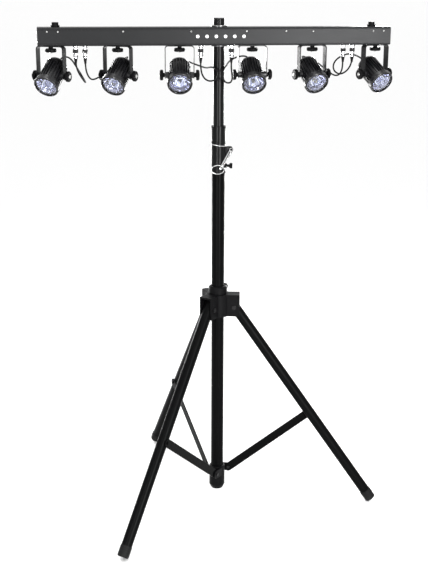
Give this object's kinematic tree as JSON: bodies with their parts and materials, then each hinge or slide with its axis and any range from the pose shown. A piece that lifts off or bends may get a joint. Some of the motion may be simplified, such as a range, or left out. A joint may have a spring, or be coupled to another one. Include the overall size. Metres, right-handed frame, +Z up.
{
  "type": "led spot bar on tripod stand",
  "caption": "Slim light bar with small panning and tilting spot heads on yokes, clamped to a telescoping mast on a folding braced tripod stand.",
  "frame": {"origin": "on the floor under the middle of the column, midway between the feet", "axes": "+Z up along the column, X along the light bar, the heads face -Y"},
  "size_m": [1.0407, 0.8483, 1.4749],
  "materials": {
    "painted_steel": "satin black powder coat on steel tube",
    "leg_paint": "satin black powder coat on steel tube",
    "cast_black": "matte black moulded nylon",
    "nylon_bush": "plain moulded nylon",
    "black_plastic": "matte black moulded plastic",
    "rubber_foot": "matte black rubber",
    "bright_steel": "zinc plated steel",
    "chrome_wire": "polished plated wire",
    "bar_paint": "satin black paint on aluminium extrusion",
    "sleeve_steel": "plated steel",
    "chrome_socket": "polished nickel plate",
    "circuit_board": "green circuit board",
    "yoke_paint": "satin black powder coat on steel strip",
    "barrel_black": "satin black finish on die-cast aluminium",
    "clear_lens": "clear polished",
    "cord_jacket": "matte black flexible cord jacket"
  },
  "bodies": {
    "column": {"lower_tube": "painted_steel", "lower_hub": "cast_black", "brace_pivots": "bright_steel", "mast_collar": "cast_black"},
    "leg_hub": {"leg_hub": "cast_black", "leg_pivots": "bright_steel"},
    "mast": {"upper_tube": "painted_steel", "mast_bush": "nylon_bush", "mast_cap": "black_plastic"},
    "mast_knob": {"mast_knob": "black_plastic"},
    "hub_knob": {"hub_knob": "black_plastic"},
    "safety_pin": {"safety_pin": "chrome_wire"},
    "light_bar": {"bar_housing": "bar_paint", "bar_end_caps": "bar_paint", "mast_sleeve": "sleeve_steel", "bar_screws": "bright_steel", "hanging_bosses": "black_plastic", "cord_connectors": "chrome_socket", "control_board": "circuit_board", "head_cords": "cord_jacket"},
    "bar_clamp_knob": {"bar_clamp_knob": "black_plastic"},
    "leg_1": {"leg_1": "leg_paint", "foot_1": "rubber_foot"},
    "brace_1": {"brace_1": "painted_steel"},
    "leg_2": {"leg_2": "leg_paint", "foot_2": "rubber_foot"},
    "brace_2": {"brace_2": "painted_steel"},
    "leg_3": {"leg_3": "leg_paint", "foot_3": "rubber_foot"},
    "brace_3": {"brace_3": "painted_steel"},
    "yoke_1": {"yoke_1": "yoke_paint"},
    "barrel_1": {"barrel_1": "barrel_black", "lens_1": "clear_lens"},
    "tilt_knobs_1": {"tilt_knobs_1": "black_plastic"},
    "pan_knob_1": {"pan_knob_1": "black_plastic"},
    "yoke_2": {"yoke_2": "yoke_paint"},
    "barrel_2": {"barrel_2": "barrel_black", "lens_2": "clear_lens"},
    "tilt_knobs_2": {"tilt_knobs_2": "black_plastic"},
    "pan_knob_2": {"pan_knob_2": "black_plastic"},
    "yoke_3": {"yoke_3": "yoke_paint"},
    "barrel_3": {"barrel_3": "barrel_black", "lens_3": "clear_lens"},
    "tilt_knobs_3": {"tilt_knobs_3": "black_plastic"},
    "pan_knob_3": {"pan_knob_3": "black_plastic"},
    "yoke_4": {"yoke_4": "yoke_paint"},
    "barrel_4": {"barrel_4": "barrel_black", "lens_4": "clear_lens"},
    "tilt_knobs_4": {"tilt_knobs_4": "black_plastic"},
    "pan_knob_4": {"pan_knob_4": "black_plastic"},
    "yoke_5": {"yoke_5": "yoke_paint"},
    "barrel_5": {"barrel_5": "barrel_black", "lens_5": "clear_lens"},
    "tilt_knobs_5": {"tilt_knobs_5": "black_plastic"},
    "pan_knob_5": {"pan_knob_5": "black_plastic"},
    "yoke_6": {"yoke_6": "yoke_paint"},
    "barrel_6": {"barrel_6": "barrel_black", "lens_6": "clear_lens"},
    "tilt_knobs_6": {"tilt_knobs_6": "black_plastic"},
    "pan_knob_6": {"pan_knob_6": "black_plastic"}
  },
  "joints": [
    {"name": "stand_fold", "type": "slide", "parent": "column", "child": "leg_hub", "axis": [0, 0, 1], "range_m": [0, 0.1966]},
    {"name": "mast_slide", "type": "slide", "parent": "column", "child": "mast", "axis": [0, 0, 1], "range_m": [-0.1, 0.55]},
    {"name": "bar_swivel", "type": "hinge", "parent": "mast", "child": "light_bar", "pos_m": [0, 0, 1.4254], "axis": [0, 0, 1], "continuous": true},
    {"name": "pan_1", "type": "hinge", "parent": "light_bar", "child": "yoke_1", "pos_m": [-0.472, 0, 1.317], "axis": [0, 0, 1], "range_deg": [-17, 73], "deforming": ["head_cords"]},
    {"name": "pan_2", "type": "hinge", "parent": "light_bar", "child": "yoke_2", "pos_m": [-0.2863, 0, 1.317], "axis": [0, 0, 1], "range_deg": [-16, 74], "deforming": ["head_cords"]},
    {"name": "pan_3", "type": "hinge", "parent": "light_bar", "child": "yoke_3", "pos_m": [-0.1123, 0, 1.317], "axis": [0, 0, 1], "range_deg": [-30, 50], "deforming": ["head_cords"]},
    {"name": "pan_4", "type": "hinge", "parent": "light_bar", "child": "yoke_4", "pos_m": [0.0963, 0, 1.317], "axis": [0, 0, 1], "range_deg": [-46, 34], "deforming": ["head_cords"]},
    {"name": "pan_5", "type": "hinge", "parent": "light_bar", "child": "yoke_5", "pos_m": [0.2703, 0, 1.317], "axis": [0, 0, 1], "range_deg": [-58, 32], "deforming": ["head_cords"]},
    {"name": "pan_6", "type": "hinge", "parent": "light_bar", "child": "yoke_6", "pos_m": [0.456, 0, 1.317], "axis": [0, 0, 1], "range_deg": [-67, 23], "deforming": ["head_cords"]},
    {"name": "tilt_1", "type": "hinge", "parent": "yoke_1", "child": "barrel_1", "pos_m": [-0.472, 0, 1.317], "axis": [0.8829, -0.4695, 0], "range_deg": [-68, 22], "deforming": ["head_cords"]},
    {"name": "tilt_2", "type": "hinge", "parent": "yoke_2", "child": "barrel_2", "pos_m": [-0.2863, 0, 1.317], "axis": [0.8746, -0.4848, 0], "range_deg": [-66, 24], "deforming": ["head_cords"]},
    {"name": "tilt_3", "type": "hinge", "parent": "yoke_3", "child": "barrel_3", "pos_m": [-0.1123, 0, 1.317], "axis": [0.9962, -0.0872, 0], "range_deg": [-60, 30], "deforming": ["head_cords"]},
    {"name": "tilt_4", "type": "hinge", "parent": "yoke_4", "child": "barrel_4", "pos_m": [0.0963, 0, 1.317], "axis": [0.9998, 0.0175, 0], "range_deg": [-64, 26], "deforming": ["head_cords"]},
    {"name": "tilt_5", "type": "hinge", "parent": "yoke_5", "child": "barrel_5", "pos_m": [0.2703, 0, 1.317], "axis": [0.9744, 0.225, 0], "range_deg": [-63, 27], "deforming": ["head_cords"]},
    {"name": "tilt_6", "type": "hinge", "parent": "yoke_6", "child": "barrel_6", "pos_m": [0.456, 0, 1.317], "axis": [0.9272, 0.3746, 0], "range_deg": [-62, 28], "deforming": ["head_cords"]},
    {"name": "leg_1_pivot", "type": "hinge", "parent": "leg_hub", "child": "leg_1", "pos_m": [0.04905, -0.00971, 0.62985], "axis": [0.1942, 0.981, 0], "range_deg": [0, 31.91]},
    {"name": "leg_2_pivot", "type": "hinge", "parent": "leg_hub", "child": "leg_2", "pos_m": [-0.03293, -0.03762, 0.62985], "axis": [0.7524, -0.6587, 0], "range_deg": [0, 31.91]},
    {"name": "leg_3_pivot", "type": "hinge", "parent": "leg_hub", "child": "leg_3", "pos_m": [-0.01611, 0.04733, 0.62985], "axis": [-0.9466, -0.3223, 0], "range_deg": [0, 31.91]},
    {"name": "brace_1_pivot", "type": "hinge", "parent": "column", "child": "brace_1", "pos_m": [0.03335, -0.0066, 0.092], "axis": [0.1942, 0.981, 0], "range_deg": [-45.51, 0]},
    {"name": "brace_2_pivot", "type": "hinge", "parent": "column", "child": "brace_2", "pos_m": [-0.0224, -0.02558, 0.092], "axis": [0.7524, -0.6587, 0], "range_deg": [-45.51, 0]},
    {"name": "brace_3_pivot", "type": "hinge", "parent": "column", "child": "brace_3", "pos_m": [-0.01096, 0.03219, 0.092], "axis": [-0.9466, -0.3223, 0], "range_deg": [-45.51, 0]},
    {"name": "safety_pin_swing", "type": "hinge", "parent": "column", "child": "safety_pin", "pos_m": [0.036, -0.0058, 1.102], "axis": [0.185, -0.9402, 0.2859], "range_deg": [0, 22]},
    {"name": "mast_knob_turn", "type": "hinge", "parent": "column", "child": "mast_knob", "pos_m": [0.02911, -0.00726, 1.056], "axis": [0.9703, -0.2419, 0], "continuous": true},
    {"name": "hub_knob_turn", "type": "hinge", "parent": "leg_hub", "child": "hub_knob", "pos_m": [0.02174, 0.02483, 0.6815], "axis": [0.6587, 0.7524, 0], "continuous": true},
    {"name": "bar_clamp_turn", "type": "hinge", "parent": "light_bar", "child": "bar_clamp_knob", "pos_m": [0, 0.03, 1.4254], "axis": [0, 1, 0], "continuous": true},
    {"name": "pan_knob_1_turn", "type": "hinge", "parent": "light_bar", "child": "pan_knob_1", "pos_m": [-0.472, 0, 1.39], "axis": [0, 0, 1], "continuous": true},
    {"name": "pan_knob_2_turn", "type": "hinge", "parent": "light_bar", "child": "pan_knob_2", "pos_m": [-0.2863, 0, 1.39], "axis": [0, 0, 1], "continuous": true},
    {"name": "pan_knob_3_turn", "type": "hinge", "parent": "light_bar", "child": "pan_knob_3", "pos_m": [-0.1123, 0, 1.39], "axis": [0, 0, 1], "continuous": true},
    {"name": "pan_knob_4_turn", "type": "hinge", "parent": "light_bar", "child": "pan_knob_4", "pos_m": [0.0963, 0, 1.39], "axis": [0, 0, 1], "continuous": true},
    {"name": "pan_knob_5_turn", "type": "hinge", "parent": "light_bar", "child": "pan_knob_5", "pos_m": [0.2703, 0, 1.39], "axis": [0, 0, 1], "continuous": true},
    {"name": "pan_knob_6_turn", "type": "hinge", "parent": "light_bar", "child": "pan_knob_6", "pos_m": [0.456, 0, 1.39], "axis": [0, 0, 1], "continuous": true},
    {"name": "tilt_knobs_1_turn", "type": "hinge", "parent": "barrel_1", "child": "tilt_knobs_1", "pos_m": [-0.472, 0, 1.317], "axis": [0.8829, -0.4695, 0], "continuous": true},
    {"name": "tilt_knobs_2_turn", "type": "hinge", "parent": "barrel_2", "child": "tilt_knobs_2", "pos_m": [-0.2863, 0, 1.317], "axis": [0.8746, -0.4848, 0], "continuous": true},
    {"name": "tilt_knobs_3_turn", "type": "hinge", "parent": "barrel_3", "child": "tilt_knobs_3", "pos_m": [-0.1123, 0, 1.317], "axis": [0.9962, -0.0872, 0], "continuous": true},
    {"name": "tilt_knobs_4_turn", "type": "hinge", "parent": "barrel_4", "child": "tilt_knobs_4", "pos_m": [0.0963, 0, 1.317], "axis": [0.9998, 0.0175, 0], "continuous": true},
    {"name": "tilt_knobs_5_turn", "type": "hinge", "parent": "barrel_5", "child": "tilt_knobs_5", "pos_m": [0.2703, 0, 1.317], "axis": [0.9744, 0.225, 0], "continuous": true},
    {"name": "tilt_knobs_6_turn", "type": "hinge", "parent": "barrel_6", "child": "tilt_knobs_6", "pos_m": [0.456, 0, 1.317], "axis": [0.9272, 0.3746, 0], "continuous": true}
  ],
  "couplings": [
    {"joint": "leg_1_pivot", "follows": "stand_fold", "rad_per_m": 2.8319},
    {"joint": "leg_2_pivot", "follows": "stand_fold", "rad_per_m": 2.8319},
    {"joint": "leg_3_pivot", "follows": "stand_fold", "rad_per_m": 2.8319},
    {"joint": "brace_1_pivot", "follows": "stand_fold", "rad_per_m": -4.0392},
    {"joint": "brace_2_pivot", "follows": "stand_fold", "rad_per_m": -4.0392},
    {"joint": "brace_3_pivot", "follows": "stand_fold", "rad_per_m": -4.0392}
  ]
}
